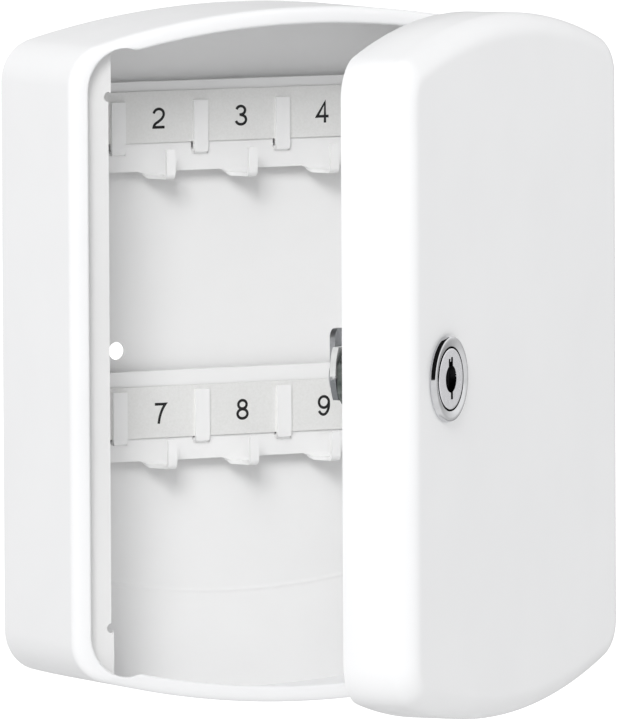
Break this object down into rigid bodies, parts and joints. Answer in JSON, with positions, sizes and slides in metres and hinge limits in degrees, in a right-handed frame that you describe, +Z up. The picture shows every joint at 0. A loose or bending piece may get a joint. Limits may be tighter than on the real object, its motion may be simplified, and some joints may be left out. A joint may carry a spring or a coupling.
{
  "type": "key cabinet",
  "caption": "Wall-mounted sheet-steel key cabinet with arched top and bottom, hooks behind a pressed door that swings on side hinges and closes with a cam lock.",
  "frame": {"origin": "centre of the back face that rests on the wall", "axes": "+X to the viewer's right when facing the cabinet, +Y into the wall, +Z up; the door is shown open by 38 degrees"},
  "size_m": [0.1625, 0.1511, 0.1936],
  "materials": {
    "coated_steel": "smooth satin white powder coat",
    "coated_inside": "smooth satin white powder coat",
    "chrome": "polished",
    "zinc_plate": "bright zinc plate",
    "brass": "stamped",
    "label_strip": "matt printed card",
    "label_ink": "black print"
  },
  "bodies": {
    "case": {"case_shell": "coated_steel", "back_plate": "coated_inside", "strike_channel": "coated_inside", "hinge_channel": "coated_inside", "hook_rail_upper": "coated_inside", "hook_rail_lower": "coated_inside", "label_strip_upper": "label_strip", "label_strip_lower": "label_strip", "hinge_upper_case_leaf": "zinc_plate", "hinge_upper_pin": "zinc_plate", "hinge_lower_case_leaf": "zinc_plate", "hinge_lower_pin": "zinc_plate"},
    "door": {"door_shell": "coated_steel", "hinge_upper_door_leaf": "zinc_plate", "hinge_lower_door_leaf": "zinc_plate", "lock_housing": "chrome", "lock_nut": "zinc_plate"},
    "lock_core": {"lock_plug": "chrome", "lock_wafer_1": "brass", "lock_wafer_2": "brass", "lock_wafer_3": "brass", "lock_wafer_4": "brass", "lock_wafer_5": "brass", "lock_stop_washer": "chrome", "lock_cam": "zinc_plate", "lock_cam_screw": "zinc_plate"}
  },
  "joints": [
    {"name": "door_swing", "type": "hinge", "parent": "case", "child": "door", "pos_m": [0.0759, -0.0435, 0], "axis": [0, 0, 1], "range_deg": [-38, 122]},
    {"name": "lock_turn", "type": "hinge", "parent": "door", "child": "lock_core", "pos_m": [-0.01124, -0.1376, 0], "axis": [0.6157, -0.788, 0], "range_deg": [0, 90]}
  ]
}
